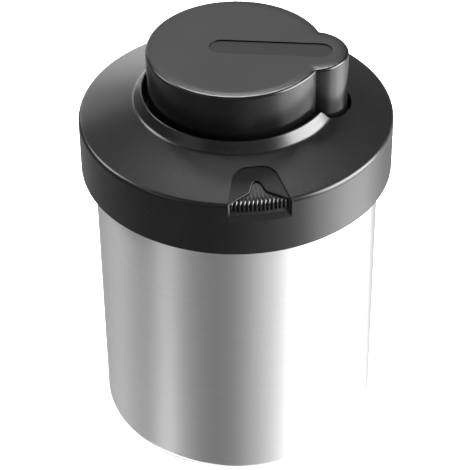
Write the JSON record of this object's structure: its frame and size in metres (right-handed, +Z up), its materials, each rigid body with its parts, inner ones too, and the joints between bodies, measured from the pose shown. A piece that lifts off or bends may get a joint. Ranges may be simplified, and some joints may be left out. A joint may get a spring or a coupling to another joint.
{
  "type": "coffee canister with valve",
  "caption": "Round steel canister with a lift-off lid that has a flip-up locking lever, an expanding silicone seal, a one-way gas valve and a turning date ring.",
  "frame": {"origin": "centre of the base, on the surface the canister stands on", "axes": "+Z up along the canister's axis, +X along the lever's thumb tab"},
  "size_m": [0.14, 0.14, 0.1934],
  "materials": {
    "brushed_steel_body": "satin brushed stainless steel",
    "pad_rubber": "matt black silicone rubber",
    "lid_plastic": "dark charcoal satin moulded plastic",
    "ring_plastic": "dark charcoal plastic with pale numbers",
    "liner_plastic": "pale grey moulded plastic",
    "screw_steel": "plated steel",
    "seal_silicone": "translucent grey silicone",
    "spring_steel": "spring steel wire",
    "lever_plastic": "dark grey satin metallic plastic",
    "valve_plastic": "white moulded plastic",
    "valve_silicone": "soft silicone",
    "filter_felt": "felted filter paper"
  },
  "bodies": {
    "canister": {"canister": "brushed_steel_body", "base_pad": "pad_rubber"},
    "lid": {"lid_shell": "lid_plastic", "lid_liner": "liner_plastic", "lid_screws": "screw_steel", "lower_plate": "liner_plastic", "plate_screws": "screw_steel", "seal_ring": "seal_silicone", "return_spring": "spring_steel", "valve_body": "valve_plastic", "valve_gasket": "pad_rubber", "valve_cap": "valve_plastic", "valve_filter": "filter_felt"},
    "date_ring": {"date_ring": "ring_plastic"},
    "lever": {"lever_cap": "lever_plastic", "lever_base": "lid_plastic", "lever_screws": "screw_steel", "hinge_pin": "spring_steel"},
    "plunger": {"pressure_plate": "liner_plastic", "plunger_cap": "liner_plastic"},
    "valve_flap": {"valve_disc": "valve_silicone"}
  },
  "joints": [
    {"name": "lid_lift", "type": "slide", "parent": "canister", "child": "lid", "axis": [0, 0, 1], "range_m": [0, 0.1]},
    {"name": "date_turn", "type": "hinge", "parent": "lid", "child": "date_ring", "pos_m": [0, 0, 0.157], "axis": [0, 0, 1], "continuous": true},
    {"name": "lever_flip", "type": "hinge", "parent": "lid", "child": "lever", "pos_m": [-0.032, 0, 0.1795], "axis": [0, -1, 0], "range_deg": [0, 75]},
    {"name": "plate_slide", "type": "slide", "parent": "lid", "child": "plunger", "axis": [0, 0, 1], "range_m": [0, 0.0025], "deforming": ["return_spring", "seal_ring"]},
    {"name": "valve_lift", "type": "slide", "parent": "lid", "child": "valve_flap", "axis": [0, 0, 1], "range_m": [0, 0.0008]}
  ],
  "couplings": [
    {"joint": "plate_slide", "follows": "lever_flip", "m_per_rad": 0.0019}
  ]
}
